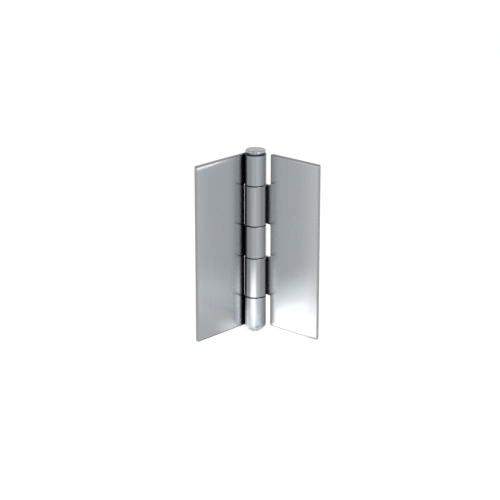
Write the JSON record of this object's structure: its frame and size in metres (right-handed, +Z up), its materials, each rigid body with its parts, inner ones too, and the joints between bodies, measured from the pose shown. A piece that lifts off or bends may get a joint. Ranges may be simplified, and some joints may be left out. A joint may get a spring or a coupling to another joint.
{
  "type": "butt hinge",
  "caption": "Butt hinge in polished sheet steel: two plain flat leaves whose rolled knuckles interleave on a headed pin, for hanging a door, lid or panel.",
  "frame": {"origin": "on the three-knuckle leaf's back, in line with the pin's axis and halfway up the leaves", "axes": "+Z up along the pin, towards its head; +Y out of the three-knuckle leaf's back; +X out of the two-knuckle leaf's back with the leaves open at a right angle"},
  "size_m": [0.048, 0.0481, 0.1062],
  "materials": {
    "leaf_steel": "rolled and polished, satin with a fine grain",
    "pin_steel": "turned and polished"
  },
  "bodies": {
    "fixed_leaf": {"three_knuckle_leaf": "leaf_steel", "hinge_pin": "pin_steel", "end_plug": "pin_steel"},
    "swing_leaf": {"two_knuckle_leaf": "leaf_steel"}
  },
  "joints": [
    {"name": "pin_turn", "type": "hinge", "parent": "fixed_leaf", "child": "swing_leaf", "pos_m": [0, -0.00605, 0], "axis": [0, 0, 1], "range_deg": [-90, 140]}
  ]
}
